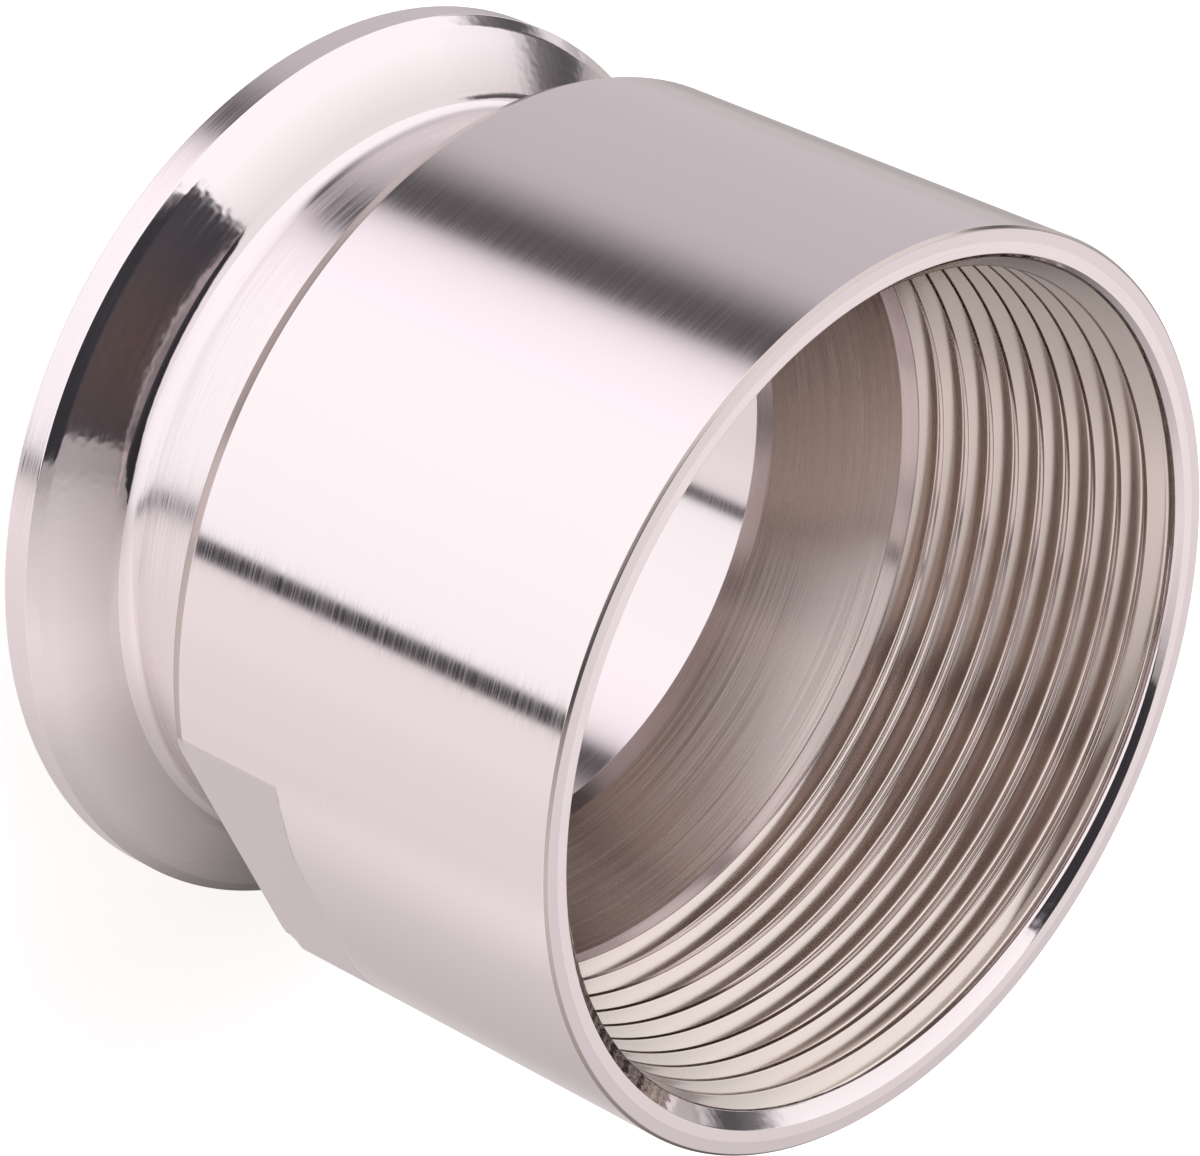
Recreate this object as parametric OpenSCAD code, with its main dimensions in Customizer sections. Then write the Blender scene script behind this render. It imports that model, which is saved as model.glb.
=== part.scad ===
// Sanitary clamp to female pipe thread adapter, turned from one stainless bar.
// It stands on the clamp face: z = 0 is the sealing face and +z runs up the axis to the mouth.
// The two wrench flats face +x and -x.

/* [Clamp flange] */
// Outside diameter of the clamp flange
flange_d = 64; // [63:0.5:68]
// Height of the cylindrical land around the flange rim
rim_h = 2.2; // [1.6:0.1:2.8]
// Slope of the clamp bevel, measured from the sealing face, in degrees
bevel_angle = 34; // [24:1:36]
// Edge break around the sealing face
rim_break = 0.2; // [0.1:0.05:0.4]
// Centre diameter of the half round gasket groove
groove_d = 56.3; // [54.5:0.1:57]
// Width of the gasket groove at the sealing face
groove_w = 4.4; // [3.2:0.1:4.8]
// Depth of the gasket groove
groove_depth = 1.55; // [1:0.05:1.6]

/* [Neck] */
// Wall left between the bore and the neck that joins flange and body
neck_wall = 3.5; // [2.5:0.1:4]
// Radius that joins the bevel to the neck
neck_fillet = 2.2; // [1:0.1:3]
// Radius that joins the neck to the rear end of the body
shoulder_fillet = 0.8; // [0.4:0.1:1.5]

/* [Body] */
// Wall left between the thread crests at the mouth and the outside of the body
body_wall = 3.15; // [2.9:0.05:4.5]
// Height of the rear end of the body above the sealing face
body_z = 15.9; // [13:0.1:17]
// Height of the mouth face above the sealing face
total_h = 49.8; // [48.5:0.1:51]
// Axial length of the chamfer at the rear end of the body
rear_chamfer_z = 1.1; // [0.4:0.1:2]
// Radial depth of the chamfer at the rear end of the body
rear_chamfer_r = 0.5; // [0.2:0.1:0.9]
// Edge break around the outside of the mouth face
mouth_break = 0.2; // [0.1:0.05:0.4]

/* [Wrench flats] */
// Depth of each flat below the outside of the body
flat_depth = 2.15; // [1.5:0.05:2.6]
// Length of the flats from the rear end of the body
flat_len = 9.7; // [6:0.1:12]
// Axial length of the worn slope at the end of each flat
flat_run = 1.6; // [0.8:0.1:2.4]

/* [Bore] */
// Diameter of the bore through the clamp end
bore_d = 46; // [44:0.5:47]
// Height where the straight bore ends
bore_top_z = 17.3; // [15:0.1:18]
// Axial length of the lead-in above the bore
lead_z = 1.1; // [0.5:0.1:1.5]
// Radial width of the lead-in above the bore
lead_r = 0.5; // [0.2:0.1:0.8]
// Height of the upper end of the smooth tapering section
smooth_top_z = 26.3; // [25.3:0.1:27]

/* [Pipe thread] */
// Diameter inside the thread crests at the mouth
crest_d = 57.7; // [56.5:0.1:58.5]
// Depth of the thread groove
thread_depth = 1.25; // [0.9:0.05:1.3]
// Axial distance from one turn to the next
thread_pitch = 2.209; // [2.1:0.001:2.4]
// Height of the groove centre at its lower end
thread_end_z = 27.55; // [27.3:0.05:29]
// Width of the crest left between two turns
crest_w = 0.35; // [0.25:0.05:0.5]
// Direction of the lower end of the groove, around the axis, in degrees
thread_end_angle = 316; // [0:1:360]
// How far the countersink reaches beyond the thread roots at the mouth face
sink_margin = 0.05; // [0.03:0.01:0.3]

/* [Hidden] */
$fn = 96;
// Loss of radius for each millimetre of depth on a one in sixteen pipe taper
taper = 1 / 32;
// Straight segments in one turn of the groove
turn_segs = 48;
// Segments over which the groove fades out at its lower end
fade_segs = 8;
// Overrun that carries each cut clear of the face it opens
over = 1;

flange_r = flange_d / 2;
bore_r = bore_d / 2;
neck_r = bore_r + neck_wall;
crest_r = crest_d / 2;
body_r = crest_r + body_wall;
sink_w = thread_depth + sink_margin;
sink_r = crest_r + sink_w;
flat_r = body_r - flat_depth;

// Height where the bevel would meet the neck without a fillet
bevel_top_z = rim_h + (flange_r - neck_r) * tan(bevel_angle);
// Distance from that corner to the points where the fillet touches the bevel and the neck
fillet_reach = neck_fillet * tan((90 - bevel_angle) / 2);
// Circle whose arc cuts the gasket groove
groove_r = (groove_w * groove_w / 4 + groove_depth * groove_depth) / (2 * groove_depth);

// Radius inside the thread crests, and inside the smooth section below them
function crest_at(z) = crest_r - (total_h - z) * taper;
smooth_r = bore_r + lead_r;
smooth_z = bore_top_z + lead_z;
smooth_slope = (crest_at(smooth_top_z) - smooth_r) / (smooth_top_z - smooth_z);
function wall_at(z) = min(crest_at(z), smooth_r + (z - smooth_z) * smooth_slope);

// Half width of the groove where it leaves the crests
groove_half = (thread_pitch - crest_w) / 2;
// Angle between one wall of the groove and the plane across the axis, in degrees
flank_angle = 30;
// Half width of the flat root
root_half = groove_half - thread_depth * tan(flank_angle);
// How far its first ring lies inside the wall
groove_start = 0.03;
// The walls start inside the crests, where the groove is wider by a share of the crest
lip_spread = 0.36 * crest_w;
lip_half = groove_half + lip_spread;
groove_lip = lip_spread / tan(flank_angle);

// Section of the groove: axial offset from its centre and how far it stands outside the crests
groove_section = [
    [-lip_half, -groove_lip],
    [-root_half, thread_depth],
    [root_half, thread_depth],
    [lip_half, -groove_lip]
];

// The groove runs up and out past the mouth face
groove_steps = ceil((total_h + thread_pitch - thread_end_z) / thread_pitch * turn_segs);

// The first ring of the groove lies just inside the wall, and the depth grows from there
function fade(i) = 0.2 + 0.8 * min(1, i / fade_segs);
function groove_radius(z, s, i) =
    s < 0 ? wall_at(z) + s : i == 0 ? wall_at(z) - groove_start : crest_at(z) + s * fade(i);

function groove_point(i, p) =
    let (a = thread_end_angle + 360 * i / turn_segs)
    let (z = thread_end_z + thread_pitch * i / turn_segs + p[0])
    let (r = groove_radius(z, p[1], i))
    [r * cos(a), r * sin(a), z];

module outer_section() {
    polygon([
        [0, 0],
        [flange_r - rim_break, 0],
        [flange_r, rim_break],
        [flange_r, rim_h],
        [neck_r, bevel_top_z],
        [neck_r, body_z],
        [body_r - rear_chamfer_r, body_z],
        [body_r, body_z + rear_chamfer_z],
        [body_r, total_h - mouth_break],
        [body_r - mouth_break, total_h],
        [0, total_h]
    ]);
}

// Corner between bevel and neck, filled and then cut by the circle that touches both
module neck_fillet_section() {
    difference() {
        polygon([
            [neck_r - over, bevel_top_z],
            [neck_r, bevel_top_z],
            [neck_r + fillet_reach * cos(bevel_angle), bevel_top_z - fillet_reach * sin(bevel_angle)],
            [neck_r, bevel_top_z + fillet_reach],
            [neck_r - over, bevel_top_z + fillet_reach]
        ]);
        translate([neck_r + neck_fillet, bevel_top_z + fillet_reach]) {
            circle(r = neck_fillet);
        }
    }
}

// Corner under the rear end of the body
module shoulder_fillet_section() {
    difference() {
        translate([neck_r - over, body_z - shoulder_fillet]) {
            square([over + shoulder_fillet, over + shoulder_fillet]);
        }
        translate([neck_r + shoulder_fillet, body_z - shoulder_fillet]) {
            circle(r = shoulder_fillet);
        }
    }
}

// Everything removed along the axis: bore, lead-in, smooth taper, thread core and countersink
module inner_section() {
    polygon([
        [0, -over],
        [bore_r, -over],
        [bore_r, bore_top_z],
        [smooth_r, smooth_z],
        [crest_at(smooth_top_z), smooth_top_z],
        [crest_at(total_h - sink_w), total_h - sink_w],
        [sink_r, total_h],
        [sink_r, total_h + over],
        [0, total_h + over]
    ]);
}

module gasket_groove_section() {
    translate([groove_d / 2, groove_depth - groove_r]) {
        circle(r = groove_r);
    }
}

module turned_blank() {
    rotate_extrude() {
        difference() {
            union() {
                outer_section();
                neck_fillet_section();
                shoulder_fillet_section();
            }
            inner_section();
            gasket_groove_section();
        }
    }
}

// One flat with its end slope, as the shape the cutter sweeps away
module flat_cut() {
    rotate([90, 0, 0]) {
        linear_extrude(height = 2 * body_r, center = true) {
            polygon([
                [flat_r, body_z - over],
                [flat_r, body_z + flat_len],
                [flat_r + 0.72 * (body_r - flat_r), body_z + flat_len + 0.3 * flat_run],
                [body_r, body_z + flat_len + flat_run],
                [body_r + over, body_z + flat_len + 2 * flat_run],
                [body_r + over, body_z - over]
            ]);
        }
    }
}

// Helical groove of the pipe thread
module thread_groove() {
    sides = len(groove_section);
    points = [for (i = [0:groove_steps]) for (p = groove_section) groove_point(i, p)];
    walls = [
        for (i = [0:groove_steps - 1])
            for (k = [0:sides - 1])
                let (a = i * sides + k)
                let (b = i * sides + (k + 1) % sides)
                each [[a, b, b + sides], [a, b + sides, a + sides]]
    ];
    first_end = [for (k = [0:sides - 1]) sides - 1 - k];
    last_end = [for (k = [0:sides - 1]) groove_steps * sides + k];
    polyhedron(points, concat(walls, [first_end], [last_end]), convexity = 20);
}

module adapter() {
    color("#c9c5c4") {
        difference() {
            turned_blank();
            for (side = [0, 180]) {
                rotate([0, 0, side]) {
                    flat_cut();
                }
            }
            thread_groove();
        }
    }
}

adapter();
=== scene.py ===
# %% [markdown]
# # A sanitary clamp adapter in turned stainless steel
#
# The object is one piece of stainless bar. A lathe made the clamp flange, the neck, the body and the
# bore, a tap cut the pipe thread, and a milling cutter made the two wrench flats.
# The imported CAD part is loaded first. It fixes every size, and all that follows is fitted to it.

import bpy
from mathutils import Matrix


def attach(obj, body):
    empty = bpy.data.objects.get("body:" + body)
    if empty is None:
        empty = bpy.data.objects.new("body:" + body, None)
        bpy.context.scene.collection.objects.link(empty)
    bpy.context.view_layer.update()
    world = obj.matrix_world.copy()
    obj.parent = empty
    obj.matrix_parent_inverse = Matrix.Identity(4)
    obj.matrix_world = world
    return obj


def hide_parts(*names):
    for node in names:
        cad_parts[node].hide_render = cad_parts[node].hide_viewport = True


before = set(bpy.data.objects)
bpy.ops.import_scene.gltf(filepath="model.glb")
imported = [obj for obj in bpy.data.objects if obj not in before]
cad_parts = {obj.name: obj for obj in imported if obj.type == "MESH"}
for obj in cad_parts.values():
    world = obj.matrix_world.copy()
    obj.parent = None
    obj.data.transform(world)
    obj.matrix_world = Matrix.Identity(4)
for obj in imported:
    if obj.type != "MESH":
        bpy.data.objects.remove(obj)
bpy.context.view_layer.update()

# %% [markdown]
# ## Units and small tools
#
# The drawing of the part is in millimetres and Blender works in metres, so one factor turns one
# into the other. numpy holds long lists of points, which keeps the mesh code short.

# %% Units and small tools
import math

import bpy
import numpy as np
from mathutils import Quaternion, Vector

MM = 0.001
scene = bpy.context.scene


def linear(hex_colour):
    """An sRGB colour such as "#c8c4c2" as the linear values that Blender's nodes work in."""
    parts = [int(hex_colour[i:i + 2], 16) / 255 for i in (1, 3, 5)]
    return tuple(c / 12.92 if c <= 0.04045 else ((c + 0.055) / 1.055) ** 2.4 for c in parts) + (1.0,)


def empty_tree(owner):
    """Switches a material or a world to nodes, and returns its tree with nothing in it."""
    owner.use_nodes = True
    owner.node_tree.nodes.clear()
    return owner.node_tree


def add_node(tree, kind, inputs=None, **settings):
    """Adds one node, sets its settings, and links or sets its inputs."""
    node = tree.nodes.new(kind)
    for name, value in settings.items():
        setattr(node, name, value)
    for name, value in (inputs or {}).items():
        if isinstance(value, bpy.types.NodeSocket):
            tree.links.new(value, node.inputs[name])
        else:
            node.inputs[name].default_value = value
    return node


# %% [markdown]
# ## The camera
#
# In this scene the part stands on its clamp face. The photograph looks into its mouth with a long lens,
# from 37 degrees above the plane of the mouth, and it is turned so that the mouth points down and to the
# right. A long lens at a distance keeps the circles of the part close to true ellipses. The camera looks
# at a point near the axis, and is then rolled about its own line of sight.

# %% Camera
camera_place = Vector((147.425, -295.689, 273.353)) * MM
camera_aim = Vector((1.996, -2.280, 26.652)) * MM
camera_roll = math.radians(114.836)

camera_data = bpy.data.cameras.new("long_lens")
camera_data.sensor_width = 36
camera_data.lens = 185.126
camera_data.clip_start, camera_data.clip_end = 0.01, 20
camera = bpy.data.objects.new("camera", camera_data)
camera.location = camera_place
camera.rotation_mode = "QUATERNION"
upright = (camera_aim - camera_place).to_track_quat("-Z", "Y")
camera.rotation_quaternion = upright @ Quaternion((0, 0, 1), camera_roll)
scene.collection.objects.link(camera)
scene.camera = camera
print("camera stands", round((camera_aim - camera_place).length / MM), "mm from the part")

# %% [markdown]
# ## The shape as a turned profile
#
# A turned part is one outline swept round an axis. The CAD model already has it, but its mesh is
# coarse: polished steel mirrors every facet. So the same outline is swept again here in far finer
# steps, and it replaces the CAD node. Each corner is given the tiny radius that a real edge has, since
# such a radius catches a line of light where a perfectly sharp edge would show none. An extra point
# just beyond each end of an arc keeps the arc's smooth shading off the faces beside it.

# %% A corner rounding tool
beyond_arc = 0.05
small_radius, small_steps = 0.3, 3
step_degrees = 9


def rounded(corners):
    """Points (r, z) along a path of corners (r, z, radius), with an arc at each corner that has a radius."""
    path = []
    for i, (r, z, radius) in enumerate(corners):
        here = np.array([r, z])
        if radius == 0:
            path.append(here)
            continue
        back = np.array(corners[i - 1][:2]) - here
        on = np.array(corners[i + 1][:2]) - here
        back, on = back / np.linalg.norm(back), on / np.linalg.norm(on)
        bend = math.pi - math.acos(np.clip(back @ on, -1, 1))
        reach = radius * math.tan(bend / 2)
        centre = here + (back + on) / np.linalg.norm(back + on) * radius / math.cos(bend / 2)
        steps = small_steps
        if radius > small_radius:
            steps = max(small_steps, round(math.degrees(bend) / step_degrees))
        start, end = here + back * reach - centre, here + on * reach - centre
        path.append(here + back * (reach + beyond_arc))
        # Even steps round the centre, from the point where the arc starts to the one where it ends
        for k in range(steps + 1):
            share = k / steps
            path.append(centre + start * math.sin((1 - share) * bend) / math.sin(bend)
                        + end * math.sin(share * bend) / math.sin(bend))
        path.append(here + on * (reach + beyond_arc))
    return path


print("a right angle of 2 mm radius takes", round(90 / step_degrees), "steps")

# %% [markdown]
# ## Sizes
#
# These are the sizes of the CAD part, in millimetres: radii and heights above the sealing face.
# The thread is a two inch pipe thread: 11.5 turns in 25.4 mm, on a cone that opens by one in sixteen
# across, which is one in thirty-two in radius.

# %% Sizes
rim_r, rim_top, edge_break = 32.0, 2.2, 0.2
neck_r, bevel_slope = 26.5, math.radians(34)
body_r, body_foot, mouth_z = 32.0, 15.9, 49.8
foot_chamfer_r, foot_chamfer_z = 0.5, 1.1
gasket_r, gasket_half, gasket_depth = 28.15, 2.2, 1.55
bore_r, bore_top = 23.0, 17.3
lead_r, lead_top = 23.5, 18.4
cone_top = 26.3
crest_mouth_r, sink_r = 28.85, 30.15
pitch, thread_depth, crest_width, taper = 2.209, 1.25, 0.35, 1 / 32
thread_start_z, thread_start_angle = 27.55, 316.0
flat_x, flat_end, flat_fade = 29.85, 25.6, 1.6

bevel_top = rim_top + (rim_r - neck_r) * math.tan(bevel_slope)


def crest_radius(z):
    """Radius inside the crests of the thread at height z."""
    return crest_mouth_r - (mouth_z - z) * taper


def wall_radius(z):
    """Radius of the smooth wall that the thread is cut into: cone, thread bore, countersink."""
    cone = lead_r + (z - lead_top) * (crest_radius(cone_top) - lead_r) / (cone_top - lead_top)
    return np.maximum(np.minimum(cone, crest_radius(z)), sink_r - (mouth_z - z))


print("thread bore narrows from", crest_mouth_r, "to", round(crest_radius(cone_top), 2), "mm radius")

# %% [markdown]
# ## The outside: body, flats, neck, flange and gasket groove
#
# The outside path runs from the mouth face down to the sealing face. The gasket groove is an arc of
# a circle, as the ball of a forming tool leaves it. The bevel rolls over softly into the rim, where hand
# polishing has rounded it. Rows are set close together where the flats end, because their worn end slope
# meets the round body along a curve. On the mouth face and on the sealing face the path stops at a seam
# ring, where the mesh of the inside will take over.

# %% Outside path
gasket_arc_r = (gasket_half ** 2 + gasket_depth ** 2) / (2 * gasket_depth)
gasket_centre_z = gasket_depth - gasket_arc_r
arc_half = math.asin(gasket_half / gasket_arc_r)
arc_points = 15
groove_corners = [
    (gasket_r + gasket_arc_r * math.sin(a), gasket_centre_z + gasket_arc_r * math.cos(a), 0)
    for a in np.linspace(arc_half, -arc_half, arc_points)[1:-1]
]
roll_r, roll_z = 0.7, 0.58
mouth_seam_outer, mouth_seam_inner = 30.95, 30.6
foot_seam_outer, foot_seam_inner = 24.9, 24.4
outside = rounded([
    (mouth_seam_outer, mouth_z, 0),
    (body_r - edge_break, mouth_z, 0.05),
    (body_r, mouth_z - edge_break, 0.05),
    (body_r, body_foot + foot_chamfer_z, 0.15),
    (body_r - foot_chamfer_r, body_foot, 0.12),
    (neck_r, body_foot, 0.8),
    (neck_r, bevel_top, 2.2),
    (rim_r - roll_r, rim_top + roll_z, 1.6),
    (rim_r, rim_top, 0.08),
    (rim_r, edge_break, 0.06),
    (rim_r - edge_break, 0, 0.06),
    (gasket_r + gasket_half, 0, 0.08),
    *groove_corners,
    (gasket_r - gasket_half, 0, 0.08),
    (foot_seam_outer, 0, 0),
])
body_rows = [46, 42, 38, 34, 31, 29.4, 28.6, *np.arange(28, 25.2, -0.12), 24.6, 23.4, 21.5, 19.3, 18]
below_edge = mouth_z - 1
first_body_row = next(i for i, p in enumerate(outside) if p[0] == body_r and p[1] < below_edge)
outside[first_body_row:first_body_row] = [np.array([body_r, z]) for z in body_rows]
outside = np.array(outside)
print(len(outside), "rows outside")

# %% [markdown]
# ## Wrench flats
#
# A milling cutter took a slice off each side of the body. Seen along the axis a flat is a straight
# line at a fixed distance from the axis, so at each angle it limits the radius to that distance
# divided by the cosine. A soft minimum joins the flat to the round body, which wears the edge a little.
# The columns of the mesh stand a degree apart, and closer where the edges of the flats run.

# %% Flat surface
flat_edge = math.degrees(math.acos(flat_x / body_r))
edge_wear = 0.07
knee_depth, knee_run = 0.72, 0.3


def flat_limit(z):
    """How far from the axis the flat and its worn end slope lie at height z."""
    knee_x = flat_x + knee_depth * (body_r - flat_x)
    heights = [flat_end, flat_end + knee_run * flat_fade, flat_end + flat_fade, flat_end + 2 * flat_fade]
    return np.interp(z, heights, [flat_x, knee_x, body_r, 2 * body_r - knee_x])


def soft_min(a, b, wear):
    """The smaller of two surfaces, with the edge between them worn round."""
    close = np.clip(1 - np.abs(a - b) / wear, 0, 1)
    return np.minimum(a, b) - wear / 4 * close ** 2


print("flats end", round(flat_edge, 2), "degrees either side of their middle")

# %% Columns and flats
column_count = 360
fine_reach, fine_count, plain_gap = 0.8, 15, 0.9
edge_angles = [90 + side * (90 - flat_edge) + turn for side in (-1, 1) for turn in (0, 180)]
plain_angles = np.linspace(0, 360, column_count, endpoint=False)
crowded = np.any([np.abs(plain_angles - edge) < plain_gap for edge in edge_angles], axis=0)
fine_angles = [edge + np.linspace(-fine_reach, fine_reach, fine_count) for edge in edge_angles]
outer_angles = np.sort(np.concatenate([plain_angles[~crowded], *fine_angles]))
cosine = np.abs(np.cos(np.radians(outer_angles)))

height_slack = 0.01
foot_outer_r = body_r - foot_chamfer_r
path_r, path_z = outside[:, 0], outside[:, 1]
outer_r = np.repeat(outside[:, :1], len(outer_angles), axis=1)
outer_z = np.repeat(outside[:, 1:], len(outer_angles), axis=1)
on_flats = (path_z > body_foot - height_slack) & (path_z < flat_end + 2 * flat_fade)
on_foot = on_flats & (path_z < body_foot + height_slack) & (path_r < foot_outer_r)
worn = soft_min(outer_r, flat_limit(outer_z) / cosine, edge_wear)
outer_r[on_flats] = worn[on_flats]
shrink = (np.minimum(foot_outer_r, flat_x / cosine) - neck_r) / (foot_outer_r - neck_r)
outer_r[on_foot] = neck_r + (outside[on_foot, :1] - neck_r) * shrink
print(len(outer_angles), "columns outside, and", int(on_flats.sum()), "rows that the flats can cut")

# %% [markdown]
# ## The inside: bore, cone and thread
#
# A screw thread isn't a set of rings. Its groove climbs by one pitch in each turn, so the rows of the
# mesh climb too: after one turn, a row meets the row one pitch above it. Where climbing rows run into
# the level edge of the countersink or the cone, they are held at that level, and the points that fall
# together there are merged. The walls of the groove stand at 60 degrees to each other. Its bottom is
# rounded, as the worn tip of a tap leaves it, and a narrow crest is left between two turns.

# %% Inside path
thread_low, thread_high = 26.52, 49.55
cone_row, cone_end, sink_row = 22.0, 26.46, 49.6
inside_start = rounded([
    (foot_seam_inner, 0, 0),
    (bore_r, 0, 0.1),
    (bore_r, bore_top, 0.1),
    (lead_r, lead_top, 0.1),
    (wall_radius(cone_row), cone_row, 0),
    (crest_radius(cone_top), cone_top, 0.15),
    (crest_radius(cone_end), cone_end, 0),
])
inside_end = rounded([
    (wall_radius(sink_row), sink_row, 0),
    (sink_r, mouth_z, 0.05),
    (mouth_seam_inner, mouth_z, 0),
])
print(len(inside_start), "rows below the thread and", len(inside_end), "above it")

# %% [markdown]
# The groove is drawn once, as its depth at some distances from its middle line: first the round bottom,
# then the straight wall, then a small radius onto the crest. The same distances place the rows. At its
# lower end the groove fades in over a sixth of a turn, from a fifth of its depth.

# %% Shape of the groove
groove_half = (pitch - crest_width) / 2
wall_foot, wall_top = 0.28, 0.87
wall_steepness = math.tan(math.radians(60))
groove_shape = [
    (0, thread_depth),
    (0.10, 1.245),
    (0.19, 1.21),
    (wall_foot, (groove_half - wall_foot) * wall_steepness),
    (wall_top, (groove_half - wall_top) * wall_steepness),
    (0.915, 0.032),
    (0.945, 0.006),
    (0.99, 0),
]
groove_offsets = [offset for offset, depth in groove_shape]
groove_depths = [depth for offset, depth in groove_shape]
row_offsets = [-pitch / 2, *[-offset for offset in groove_offsets[:0:-1]], *groove_offsets]
fade_turns, first_depth = 1 / 6, 0.2


def groove_depth(offset, turns):
    """Depth of the groove at an axial offset from its centre, after a number of turns from its lower end."""
    depth = np.interp(np.abs(offset), groove_offsets, groove_depths)
    fade = first_depth + (1 - first_depth) * np.clip(turns / fade_turns, 0, 1)
    return depth * np.where(turns > 0, fade, 0)


def run_out(offset, turns):
    """Moves the row at the top of a groove wall to the place where that wall runs out in the countersink."""
    if abs(offset) != wall_top:
        return offset
    lean, side = 1 - taper, np.sign(offset)
    above = mouth_z - thread_start_z - pitch * turns
    meet = groove_half * wall_steepness - (sink_r - crest_mouth_r) + lean * above
    meet = meet / (wall_steepness + side * lean)
    return side * np.where((meet > wall_foot) & (meet < wall_top), meet, wall_top)


print(len(row_offsets), "rows in each turn of the thread")

# %% [markdown]
# The rows start some turns below the end of the groove and go on past the mouth. There they are all
# held level, so the first and the last row are plain rings that the rest of the inside can join.

# %% Climbing rows
inner_count = 216
turns_down, turns_up = 3, 12
climb = np.arange(inner_count) / inner_count
inner_angles = thread_start_angle + 360 * climb
thread_rows = []
for turn_number in range(-turns_down, turns_up):
    turns = turn_number + climb
    middle_z = thread_start_z + pitch * turns
    for offset in row_offsets:
        z = np.clip(middle_z + run_out(offset, turns), thread_low, thread_high)
        cut = crest_radius(z) + groove_depth(z - middle_z, turns)
        thread_rows.append((np.maximum(wall_radius(z), cut), z))
print(len(thread_rows), "climbing rows of", inner_count, "points")

# %% [markdown]
# ## One closed mesh
#
# The outside and the inside have different numbers of points round the axis, since the inside needs
# fewer. They are joined on the two flat faces, where a change in the mesh can't be seen: two rings are
# zipped together by walking round both and always adding the nearer point.

# %% Tools for rings and bands
points, faces, finishes = [], [], []
OUTSIDE, FACE, THREAD, BORE, POLISHED, NECK, ROUGH = range(7)


def add_ring(r, z, angles):
    """Adds a ring of points in mm and returns their numbers."""
    first = sum(len(p) for p in points)
    a = np.radians(angles)
    r, z = np.broadcast_to(r, a.shape), np.broadcast_to(z, a.shape)
    points.append(np.stack([r * np.cos(a), r * np.sin(a), z], axis=1))
    return np.arange(first, first + len(a))


def add_face(corners, finish):
    """Adds one face and the number of its finish."""
    faces.append(corners)
    finishes.append(finish)


def add_bands(rings, finish):
    """Joins each ring to the next, of the same count, with a band of four sided faces."""
    for low, high in zip(rings, rings[1:]):
        for corners in zip(low, high, np.roll(high, -1), np.roll(low, -1)):
            add_face(corners, finish)


def zip_rings(ring_a, angles_a, ring_b, angles_b, finish):
    """Joins two rings of different counts with triangles. Ring a is the outer one and both climb in angle."""
    i = j = 0
    a_all = np.append(angles_a, angles_a[0] + 360)
    b_all = np.append(angles_b, angles_b[0] + 360)
    while i < len(ring_a) or j < len(ring_b):
        a0, b0 = ring_a[i % len(ring_a)], ring_b[j % len(ring_b)]
        if j == len(ring_b) or (i < len(ring_a) and a_all[i + 1] <= b_all[j + 1]):
            i += 1
            add_face((a0, ring_a[i % len(ring_a)], b0), finish)
        else:
            j += 1
            add_face((a0, ring_b[j % len(ring_b)], b0), finish)


print("finishes are numbered", OUTSIDE, "to", ROUGH)

# %% Outside, bore and mouth
outer_rings = [add_ring(r, z, outer_angles) for r, z in zip(outer_r, outer_z)]
start_rings = [add_ring(r, z, inner_angles) for r, z in inside_start]
thread_rings = [add_ring(r, z, inner_angles) for r, z in thread_rows]
end_rings = [add_ring(r, z, inner_angles) for r, z in inside_end]
add_bands(outer_rings, OUTSIDE)
add_bands([*start_rings, thread_rings[0]], BORE)
add_bands([thread_rings[-1], end_rings[0]], THREAD)
add_bands(end_rings, FACE)
print(len(faces), "faces so far")

# %% [markdown]
# The climbing rows join in the same way, except where a turn closes: there the end of a row meets the
# start of the row one turn further on. Below the first row and above the last one, where there is no
# such row, that plain ring itself takes its place.

# %% Thread and flat faces
per_turn = len(row_offsets)
last = len(thread_rings) - 1
for k in range(-per_turn, last):
    ending, ending_next = thread_rings[max(k, 0)], thread_rings[max(k + 1, 0)]
    if k >= 0:
        for c in range(inner_count - 1):
            add_face((ending[c], ending_next[c], ending_next[c + 1], ending[c + 1]), THREAD)
    starting = thread_rings[min(k + per_turn, last)]
    starting_next = thread_rings[min(k + 1 + per_turn, last)]
    add_face((ending[-1], ending_next[-1], starting_next[0], starting[0]), THREAD)

first_column = int(np.argmin(inner_angles % 360))
order = np.roll(np.arange(inner_count), -first_column)
level_angles = (inner_angles % 360)[order]
zip_rings(outer_rings[0], outer_angles, end_rings[-1][order], level_angles, FACE)
zip_rings(outer_rings[-1], outer_angles, start_rings[0][order], level_angles, FACE)
print(sum(len(p) for p in points), "points and", len(faces), "faces before merging")

# %% [markdown]
# Points that fall on the same place are merged, and faces that have shrunk to nothing are dropped.
# What is left must be closed: every edge belongs to exactly two faces. The script measures that.

# %% Merge and check
merge_digits = 5
cloud = np.concatenate(points)
_, keep, number = np.unique(np.round(cloud, merge_digits), axis=0, return_index=True, return_inverse=True)
number = number.ravel()
cloud = cloud[keep]
clean_faces, clean_finishes = [], []
for face, finish in zip(faces, finishes):
    corners = [int(number[v]) for v in face]
    corners = [v for k, v in enumerate(corners) if v != corners[k - 1]]
    if len(set(corners)) == len(corners) and len(corners) > 2:
        clean_faces.append(corners)
        clean_finishes.append(finish)
clean_finishes = np.array(clean_finishes)

edges = np.concatenate([[(f[k - 1], f[k]) for k in range(len(f))] for f in clean_faces])
_, uses = np.unique(np.sort(edges, axis=1), axis=0, return_counts=True)
triangles = sum(len(f) - 2 for f in clean_faces)
print("open or doubled edges:", int((uses != 2).sum()), " triangles:", triangles)

# %% [markdown]
# ## Where each finish lies
#
# Different tools left the surfaces of the real one. The bevel and the countersink are polished, the
# neck and the rim are turned, and the cone inside and the small chamfers are rougher. A face takes its
# finish from where its middle lies, within a small margin in millimetres.

# %% Finish of each face
sink_margin, bevel_margin, rim_margin = 0.03, 0.12, 0.1
cone_margin, crest_margin, chamfer_margin, corner_margin = 0.05, 0.02, 0.04, 0.02
neck_low, cone_high, polish_low = 4, 28.6, 0.5

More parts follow.
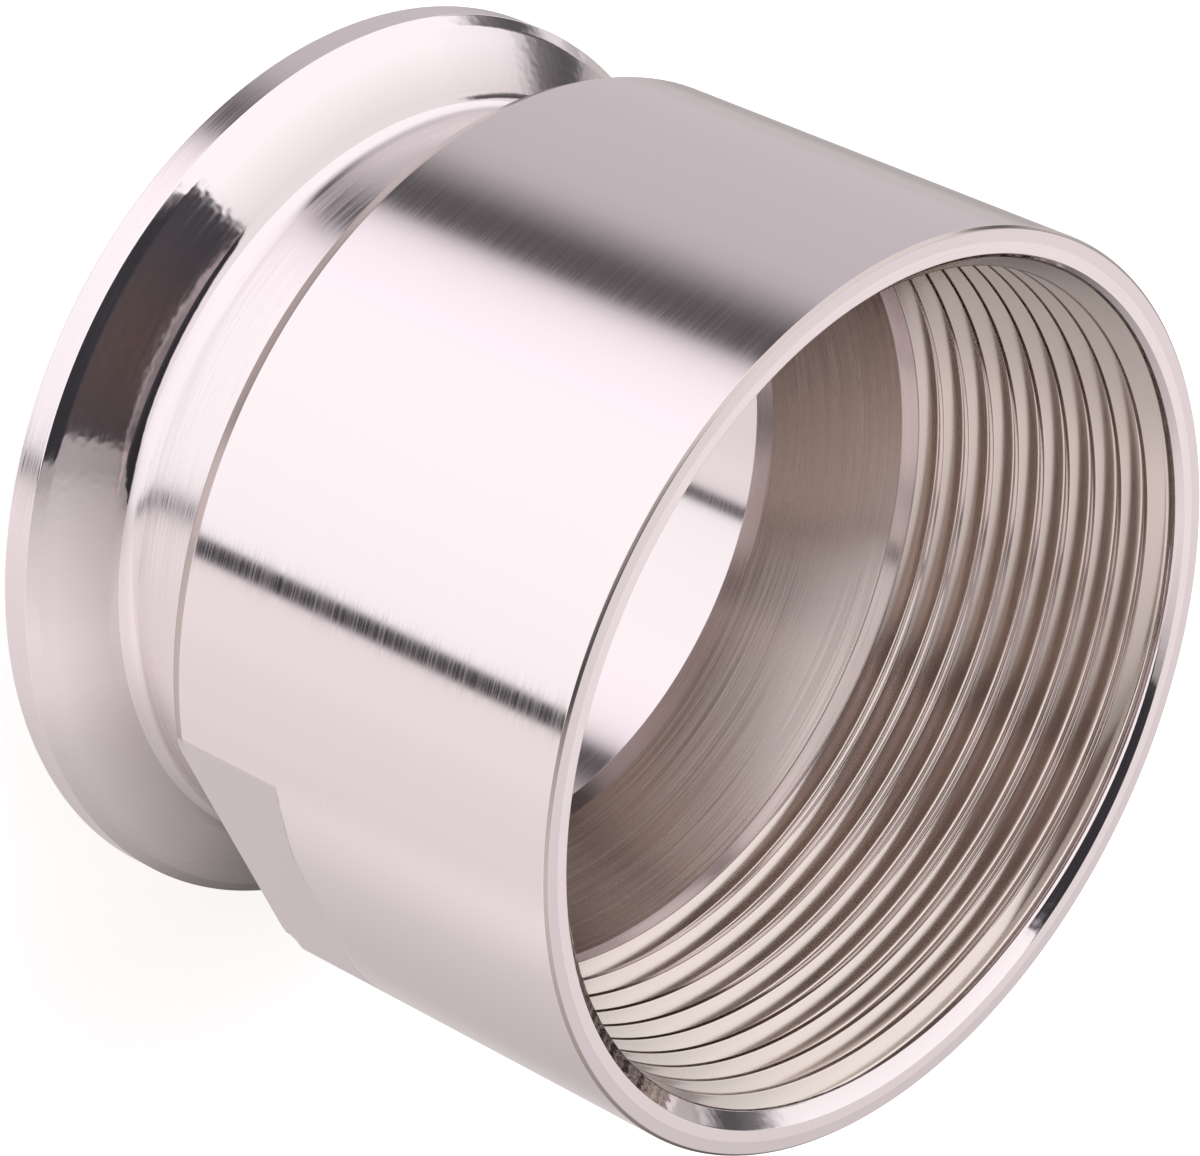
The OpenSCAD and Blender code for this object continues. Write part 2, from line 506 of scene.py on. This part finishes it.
centres = np.array([cloud[f].mean(axis=0) for f in clean_faces])
centre_r, centre_z = np.hypot(centres[:, 0], centres[:, 1]), centres[:, 2]
bevel_z = rim_top + (rim_r - centre_r) * math.tan(bevel_slope)
chamfer_r = body_r - foot_chamfer_r * (1 - (centre_z - body_foot) / foot_chamfer_z)

on_sink = np.abs(centre_r - sink_r + mouth_z - centre_z) < sink_margin
on_bevel = np.abs(centre_z - bevel_z) < bevel_margin
on_neck = (clean_finishes == OUTSIDE) & (centre_z > neck_low) & (centre_z < body_foot - corner_margin)
on_rim = (centre_z > edge_break) & (centre_z < rim_top) & (centre_r > rim_r - rim_margin)
on_cone = (centre_r > lead_r - cone_margin) & (centre_z > lead_top) & (centre_z < cone_high)
on_cone &= centre_r < crest_radius(centre_z) + crest_margin
on_foot_chamfer = (np.abs(centre_r - chamfer_r) < chamfer_margin) & (centre_z > body_foot)
on_foot_chamfer &= chamfer_r < body_r - corner_margin
on_mouth_edge = (centre_r > body_r - edge_break) & (centre_z > mouth_z - edge_break)
clean_finishes[on_neck | on_rim] = NECK
clean_finishes[on_cone | on_foot_chamfer | on_mouth_edge] = ROUGH
clean_finishes[(on_sink | on_bevel) & (centre_z > polish_low)] = POLISHED
print("faces of each finish:", np.bincount(clean_finishes).tolist())

# %% [markdown]
# The lists become a mesh in metres. It is shaded smooth, and each face carries the number of its finish
# as its material slot.

# %% The mesh in Blender
mesh = bpy.data.meshes.new("turned_adapter")
mesh.from_pydata((cloud * MM).tolist(), [], clean_faces)
mesh.polygons.foreach_set("use_smooth", [True] * len(mesh.polygons))
mesh.polygons.foreach_set("material_index", clean_finishes.tolist())
mesh.update()
adapter = bpy.data.objects.new("turned_adapter", mesh)
scene.collection.objects.link(adapter)
print(len(mesh.vertices), "points in the finished mesh")

# %% [markdown]
# ## Turned stainless steel
#
# The real one is 304 or 316 stainless bar. A metal has no colour of its own below its reflection, so
# metallic is 1 and the base colour is the tint of the mirror image. What the eye reads as brushed or
# turned is the fine lines that the tool leaves round the axis. They spread a reflection along the axis
# far more than round it. The lines are a noise that is very short across them and long along them.
# Real lines lie some hundredths of a millimetre apart, finer than a pixel. They are drawn 0.12 to
# 0.25 mm apart, as coarse as they need to be to show.

# %% Lines round the axis
face_crowding = 1.7


def tool_lines(tree, place, line_mm, line_length_mm):
    """A noise in lines round the axis, line_mm apart and about line_length_mm long, and the radius."""
    height = add_node(tree, "ShaderNodeSeparateXYZ", {"Vector": place}).outputs["Z"]
    level = add_node(tree, "ShaderNodeVectorMath", {0: place, 1: (1, 1, 0)}, operation="MULTIPLY").outputs[0]
    radius = add_node(tree, "ShaderNodeVectorMath", {0: level}, operation="LENGTH").outputs["Value"]
    across = add_node(tree, "ShaderNodeMath", {0: radius, 1: face_crowding, 2: height},
                      operation="MULTIPLY_ADD").outputs[0]
    fine_way = add_node(tree, "ShaderNodeMath", {0: across, 1: 1 / (line_mm * MM)},
                        operation="MULTIPLY").outputs[0]
    long_way = add_node(tree, "ShaderNodeVectorMath", {0: level, "Scale": 1 / (line_length_mm * MM)},
                        operation="SCALE").outputs[0]
    long_axes = add_node(tree, "ShaderNodeSeparateXYZ", {"Vector": long_way})
    line_place = add_node(tree, "ShaderNodeCombineXYZ",
                          {"X": long_axes.outputs["X"], "Y": long_axes.outputs["Y"], "Z": fine_way})
    lines = add_node(tree, "ShaderNodeTexNoise",
                     {"Vector": line_place.outputs[0], "Scale": 1.0, "Detail": 2.0, "Roughness": 0.65})
    return lines.outputs["Fac"], radius


print("lines lie", face_crowding, "times closer across a flat face than along the axis")

# %% [markdown]
# Each finish is the same steel with other numbers. Roughness goes from smooth to rough with the lines,
# over the range in which nearly all of their noise lies, and faint clouds a centimetre wide make it
# uneven, as handling does. Between the lines the metal is duller by a tone. The lines stand a fraction
# of a micrometre high. Two things are only for the polished steel: shallow dimples half a millimetre
# wide, which the buffing wheel leaves, and a brown painted shade towards the fillet of the neck, in the
# corner under the body.

# %% One turned steel
clouds_per_mm, dimples_per_mm = 0.09, 1.8
noise_low, noise_high = 0.35, 0.7
cloud_haze = 0.04
# Brown painted shade on the polished steel, strongest nearest the fillet of the neck, under the body
fillet_painted_shade, painted_shade_from, painted_shade_to = "#8f7d78", 27.5, 30.5
UM = 0.000001


def steel(name, colour, smooth, rough, line_mm, line_length_mm, bump_um, spread, tone,
          painted_shade_share=0.0, dimple_um=0.0):
    """A turned steel. Its lines are bump_um high, and spread is how far they smear a reflection."""
    material = bpy.data.materials.new(name)
    tree = empty_tree(material)
    place = add_node(tree, "ShaderNodeTexCoord").outputs["Object"]
    lines, radius = tool_lines(tree, place, line_mm, line_length_mm)
    clouds = add_node(tree, "ShaderNodeTexNoise",
                      {"Vector": place, "Scale": clouds_per_mm / MM, "Detail": 1.0, "Roughness": 0.6})
    bright = linear(colour)
    dull = tuple(c * tone for c in bright[:3]) + (1.0,)
    tint = add_node(tree, "ShaderNodeMix", {"Factor": lines, "A": dull, "B": bright},
                    data_type="RGBA").outputs["Result"]
    line_rough = add_node(tree, "ShaderNodeMapRange",
                          {"Value": lines, "From Min": noise_low, "From Max": noise_high,
                           "To Min": smooth, "To Max": rough}).outputs["Result"]
    uneven_rough = add_node(tree, "ShaderNodeMath",
                            {0: clouds.outputs["Fac"], 1: cloud_haze, 2: line_rough},
                            operation="MULTIPLY_ADD").outputs[0]
    normal = add_node(tree, "ShaderNodeBump",
                      {"Height": lines, "Strength": 1.0, "Distance": bump_um * UM}).outputs[0]
    # Painted shade: the tint turns brown towards the fillet of the neck
    if painted_shade_share:
        fillet_shade_amount = add_node(tree, "ShaderNodeMapRange",
                               {"Value": radius, "From Min": painted_shade_from * MM, "From Max": painted_shade_to * MM,
                                "To Min": painted_shade_share, "To Max": 0.0}).outputs["Result"]
        tint = add_node(tree, "ShaderNodeMix",
                        {"Factor": fillet_shade_amount, "A": tint, "B": linear(fillet_painted_shade)},
                        data_type="RGBA").outputs["Result"]
    if dimple_um:
        dimples = add_node(tree, "ShaderNodeTexNoise",
                           {"Vector": place, "Scale": dimples_per_mm / MM, "Detail": 0.0}).outputs["Fac"]
        normal = add_node(tree, "ShaderNodeBump",
                          {"Height": dimples, "Distance": dimple_um * UM, "Normal": normal}).outputs[0]
    tangent = add_node(tree, "ShaderNodeTangent", direction_type="RADIAL", axis="Z").outputs[0]
    shader = add_node(tree, "ShaderNodeBsdfPrincipled",
                      {"Base Color": tint, "Metallic": 1.0, "Roughness": uneven_rough,
                       "Anisotropic": spread, "Anisotropic Rotation": 0.25,
                       "Normal": normal, "Tangent": tangent})
    add_node(tree, "ShaderNodeOutputMaterial", {"Surface": shader.outputs[0]})
    return material


print("clouds are", round(1 / clouds_per_mm), "mm wide and dimples", round(1 / dimples_per_mm, 1), "mm")

# %% [markdown]
# The seven finishes, in the order of their numbers. The outside is brushed with long fine lines. The
# faced mouth and the turned neck are a little softer. The tapped thread and the rough turned cone
# and chamfers have darker, warmer tints, which are painted shade: most of them lie inside the bore.

# %% Steel finishes
steel_tint = "#e8e0e3"
steels = [
    steel("brushed_turned_stainless", steel_tint, smooth=0.06, rough=0.14, line_mm=0.12, line_length_mm=14,
          bump_um=0.5, spread=0.6, tone=0.95),
    steel("faced_stainless", "#f6eef0", smooth=0.12, rough=0.2, line_mm=0.15, line_length_mm=12,
          bump_um=0.5, spread=0.5, tone=0.97),
    # Painted shade: the thread inside the bore has a darker, warmer tint than the rest of the steel
    steel("tapped_stainless", "#dad0ca", smooth=0.1, rough=0.15, line_mm=0.15, line_length_mm=6,
          bump_um=0.2, spread=0.5, tone=0.92),
    steel("bored_stainless", steel_tint, smooth=0.1, rough=0.16, line_mm=0.12, line_length_mm=8,
          bump_um=0.5, spread=0.7, tone=0.93),
    # The polished steel carries the brown painted shade towards the neck fillet
    steel("polished_stainless", steel_tint, smooth=0.03, rough=0.08, line_mm=0.2, line_length_mm=10,
          bump_um=0.15, spread=0.3, tone=0.97, painted_shade_share=0.3, dimple_um=4),
    steel("turned_stainless", steel_tint, smooth=0.12, rough=0.3, line_mm=0.13, line_length_mm=9,
          bump_um=0.6, spread=0.45, tone=0.96),
    # Painted shade: the cone inside the bore and the small chamfers have the darkest, warmest tint
    steel("rough_turned_stainless", "#cabfbb", smooth=0.12, rough=0.26, line_mm=0.25, line_length_mm=20,
          bump_um=0.3, spread=0.6, tone=0.9),
]
for finish in steels:
    mesh.materials.append(finish)
print("finishes:", [finish.name for finish in steels])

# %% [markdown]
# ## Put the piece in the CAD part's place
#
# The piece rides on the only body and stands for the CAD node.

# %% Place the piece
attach(adapter, "root")
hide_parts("adapter")
print(adapter.name, "stands for the CAD node")

# %% [markdown]
# ## Floor
#
# A plain pale floor, which catches a soft shadow. In the camera's eye the floor gets some white of its
# own, so that it reads as the white of the photograph without more light on the steel.

# %% Floor
floor_reach = 3
floor_corners = [(-floor_reach, -floor_reach, 0), (floor_reach, -floor_reach, 0),
                 (floor_reach, floor_reach, 0), (-floor_reach, floor_reach, 0)]
floor_mesh = bpy.data.meshes.new("floor")
floor_mesh.from_pydata(floor_corners, [], [(0, 1, 2, 3)])
floor = bpy.data.objects.new("floor", floor_mesh)
scene.collection.objects.link(floor)
floor.visible_glossy = False

own_white = 0.45
paper = bpy.data.materials.new("white_paper")
paper_tree = empty_tree(paper)
matt = add_node(paper_tree, "ShaderNodeBsdfDiffuse", {"Color": linear("#f2f2f2")})
seen = add_node(paper_tree, "ShaderNodeLightPath").outputs["Is Camera Ray"]
own_light = add_node(paper_tree, "ShaderNodeMath", {0: seen, 1: own_white}, operation="MULTIPLY")
glow = add_node(paper_tree, "ShaderNodeEmission", {"Color": (1, 1, 1, 1), "Strength": own_light.outputs[0]})
both = add_node(paper_tree, "ShaderNodeAddShader", {0: matt.outputs[0], 1: glow.outputs[0]})
add_node(paper_tree, "ShaderNodeOutputMaterial", {"Surface": both.outputs[0]})
floor_mesh.materials.append(paper)
print("the floor is", 2 * floor_reach, "m square")

# %% [markdown]
# ## Studio light
#
# Polished metal shows the room, so the room is the lighting. In the photograph the part lies on its side
# on a white table, in a white light tent. Here it stands on its clamp face, so that room is drawn lying
# on its side round it, and the world shader draws it by direction alone. Four angles in degrees say
# where a direction points: rise is how far up from that table, height is how far towards the side that
# the mouth opens to, turn is the way round the part's axis, from straight up off the table, and bearing
# is the way round on the table.

# %% Directions in the room
world = bpy.data.worlds.new("light_tent")
scene.world = world
sky = empty_tree(world)
direction = add_node(sky, "ShaderNodeTexCoord").outputs["Generated"]
off_table = (-0.4394, -0.8983, 0)
across_table = (0.8983, -0.4394, 0)
mouth_way = (0, 0, 1)


def maths(kind, *values):
    """One sum on numbers or outputs."""
    return add_node(sky, "ShaderNodeMath", dict(enumerate(values)), operation=kind).outputs[0]


def measured(axis):
    """How far the direction points along an axis."""
    return add_node(sky, "ShaderNodeVectorMath", {0: direction, 1: axis},
                    operation="DOT_PRODUCT").outputs["Value"]


rise = maths("DEGREES", maths("ARCSINE", measured(off_table)))
height = maths("DEGREES", maths("ARCSINE", measured(mouth_way)))
turn = maths("DEGREES", maths("ARCTAN2", measured(across_table), measured(off_table)))
bearing = maths("DEGREES", maths("ARCTAN2", measured(mouth_way), measured(across_table)))
off_table_angle = math.degrees(math.atan2(off_table[1], off_table[0]))
print("straight up off that table is", round(off_table_angle), "degrees from x")

# %% [markdown]
# Each thing in the room is a mask, one where it stands and zero elsewhere, and a colour whose brightness
# may change along an angle. A curve node with straight pieces holds such a change. It only holds values
# from zero to one, so a brightness goes in as a share of the brightest. The same tool also draws a
# slanting edge: there one stands for zero degrees, and an angle is added to it in hundredths.

# %% Tools that draw in the room
brightest = 2.0
edge_span = 100


def step_up(value, level, soft, rising=True):
    """Zero below a level and one above it, with a soft change, or the other way round."""
    return add_node(sky, "ShaderNodeMapRange",
                    {"Value": value, "From Min": level - soft, "From Max": level + soft,
                     "To Min": 0 if rising else 1, "To Max": 1 if rising else 0},
                    interpolation_type="SMOOTHSTEP").outputs["Result"]


def window(value, low, high, soft):
    """One between two levels and zero outside them."""
    return maths("MULTIPLY", step_up(value, low, soft), step_up(value, high, soft, False))


def ramp(value, stops):
    """A brightness, at most brightest, that goes straight from one stop to the next along a value."""
    first, last = stops[0][0], stops[-1][0]
    share = add_node(sky, "ShaderNodeMapRange", {"Value": value, "From Min": first, "From Max": last})
    curve = add_node(sky, "ShaderNodeFloatCurve", {"Value": share.outputs["Result"]})
    line = curve.mapping.curves[0]
    line.points[0].location = (0, stops[0][1] / brightest)
    line.points[1].location = (1, stops[-1][1] / brightest)
    for place, level in stops[1:-1]:
        line.points.new((place - first) / (last - first), level / brightest)
    for point in line.points:
        point.handle_type = "VECTOR"
    curve.mapping.update()
    return maths("MULTIPLY", curve.outputs[0], brightest)


def past_edge(value, along, stops):
    """Degrees from an edge to a value, where the edge goes straight from stop to stop along another angle."""
    edge = ramp(along, [(place, 1 + degrees / edge_span) for place, degrees in stops])
    return maths("ADD", maths("MULTIPLY_ADD", edge, -edge_span, value), edge_span)


def shade(colour, level):
    """A colour at a brightness, which is a number or a ramp."""
    return add_node(sky, "ShaderNodeVectorMath", {0: linear(colour)[:3], "Scale": level},
                    operation="SCALE").outputs[0]


def lay(under, mask, over):
    """Lays a shaded colour over what is there, where the mask is one."""
    return add_node(sky, "ShaderNodeMix", {"Factor": mask, "A": under, "B": over},
                    data_type="RGBA").outputs["Result"]


print(len(sky.nodes), "nodes measure the direction")

# %% [markdown]
# The tent is white all round, and a little brighter where a softbox shines through its cloth. To the
# left, behind the clamp end, stands a grey wall, and the gap between the wall and the softbox is dark.
# That gap shows as the broad soft band along the body.

# %% Tent and grey wall
room = shade("#fffcfc", ramp(turn, [
    (-92, 0.85), (-84, 0.95), (-76, 1.15), (-66, 1.26), (-20, 1.28), (30, 1.30), (60, 1.27), (90, 1.21),
]))
low_wall = shade("#fff8fb", ramp(turn, [
    (-100, 0.68), (-66, 0.67), (-50, 0.67), (-36, 0.65), (-30, 0.59), (-26, 0.46), (-21, 0.26),
    (-17, 0.14), (-14, 0.12), (-10, 0.13), (-8, 0.22), (-5, 0.74), (-1.5, 1.06), (3, 1.20), (8, 1.27),
    (16, 1.32), (20, 1.32),
]))
below = step_up(height, -17, 9, False)
room = lay(room, maths("MULTIPLY", window(turn, -190, 20, 1.0), below), low_wall)
print(len(sky.nodes), "nodes with the tent and its wall")

# %% [markdown]
# The camera looks in through a dark opening. It starts further left the higher it is, and its sill
# drops to the right. It shows as the dark patch on the bevel. Two smaller things are a dark strip just
# over the left end of the table, and the shadow in which the tent stands behind the clamp end.

# %% Opening, strip and shadow
past_left = past_edge(turn, height, [(50, 8), (54, 5), (62, -10), (66, -14)])
above_sill = past_edge(height, turn, [(10, 53), (50, 50), (69, 45), (90, 28)])
opening = maths("MULTIPLY", step_up(past_left, 0, 0.8), step_up(above_sill, 0, 1.5))
opening_top = maths("MULTIPLY", opening, step_up(height, 70, 4))
room = lay(room, opening, shade("#f4f0ff", ramp(height, [(50, 0.045), (58, 0.05), (68, 0.085)])))
room = lay(room, opening_top, shade("#ffd8d0", ramp(height, [(66, 0.09), (84, 0.2)])))

strip = maths("MULTIPLY", window(turn, -97, -62, 3.0), window(height, 7.5, 18, 2.5))
room = lay(room, strip, shade("#f4f0f4", ramp(height, [(8, 0.13), (12, 0.13), (18, 0.3)])))
room = lay(room, step_up(height, -68, 7, False), shade("#fff0ee", 0.24))
print(len(sky.nodes), "nodes with the opening, the strip and the shadow")

# %% [markdown]
# The table is white paper. Its brightness is drawn on its own plane, with aside as the way across it
# and outward as the way in which the mouth points: the soft shadow round the part, the light that
# falls off outward, and a darker left end. Where the table ends behind the clamp end, the gap under the
# tent shows as the thin dark line along the body.

# %% Table
least_drop = 0.02
drop = maths("MAXIMUM", maths("MULTIPLY", measured(off_table), -1.0), least_drop)
aside = maths("DIVIDE", measured(across_table), drop)
outward = maths("DIVIDE", measured(mouth_way), drop)
spot = add_node(sky, "ShaderNodeCombineXYZ", {"X": aside, "Y": outward}).outputs[0]
part_spot = (-0.5, -0.1, 0)
away = add_node(sky, "ShaderNodeVectorMath", {0: spot, 1: part_spot}, operation="DISTANCE").outputs["Value"]
near_light = ramp(away, [
    (0.0, 0.13), (0.28, 0.27), (0.51, 0.46), (0.75, 0.58), (1.1, 0.70), (1.5, 0.92), (2.0, 1.0), (4.0, 1.0),
])
far_light = ramp(outward, [
    (-3, 1.04), (-1.5, 0.96), (-1.1, 0.94), (-0.85, 1.16), (-0.5, 1.1), (0, 1.0), (1.3, 1.0), (1.7, 0.92),
    (2.5, 0.84), (4, 0.73), (9, 0.48),
])
left_light = ramp(aside, [(-6, 0.6), (-3, 0.46), (-2.1, 0.5), (-1.75, 1.0)])
paper_light = maths("MULTIPLY", maths("MULTIPLY", near_light, far_light), left_light)
room = lay(room, step_up(rise, -1.6, 0.6, False), shade("#fff7f6", paper_light))

far_edge = maths("MULTIPLY", window(rise, -1.6, 2.6, 0.8), step_up(height, 0, 8, False))
far_edge = maths("MULTIPLY", far_edge, step_up(bearing, -90, 10))
room = lay(room, far_edge, shade("#f2f0ff", 0.05))
print(len(sky.nodes), "nodes with the table")

# %% [markdown]
# The camera itself sees plain white behind the part. One soft lamp overhead gives the floor its light
# and its shadow. It is kept out of reflections, where the tent already shows it.

# %% Backdrop and lamp
seen = add_node(sky, "ShaderNodeLightPath").outputs["Is Camera Ray"]
shown = lay(room, seen, (1, 1, 1, 1))
background = add_node(sky, "ShaderNodeBackground", {"Color": shown, "Strength": 1.0})
add_node(sky, "ShaderNodeOutputWorld", {"Surface": background.outputs[0]})

lamp_data = bpy.data.lights.new("overhead_softbox", "AREA")
lamp_data.shape, lamp_data.size = "DISK", 0.5
lamp_data.energy = 3.0
lamp = bpy.data.objects.new("overhead_softbox", lamp_data)
lamp.location = (-0.35, -0.25, 0.9)
lamp_aim = Vector((0, 0, 0.02))
lamp.rotation_mode = "QUATERNION"
lamp.rotation_quaternion = (lamp_aim - lamp.location).to_track_quat("-Z", "Y")
lamp.visible_glossy = False
scene.collection.objects.link(lamp)
print(len(sky.nodes), "nodes draw the room")

# %% [markdown]
#
# The Standard view shows colours as they are written.

# %% Finish
scene.view_settings.view_transform = "Standard"
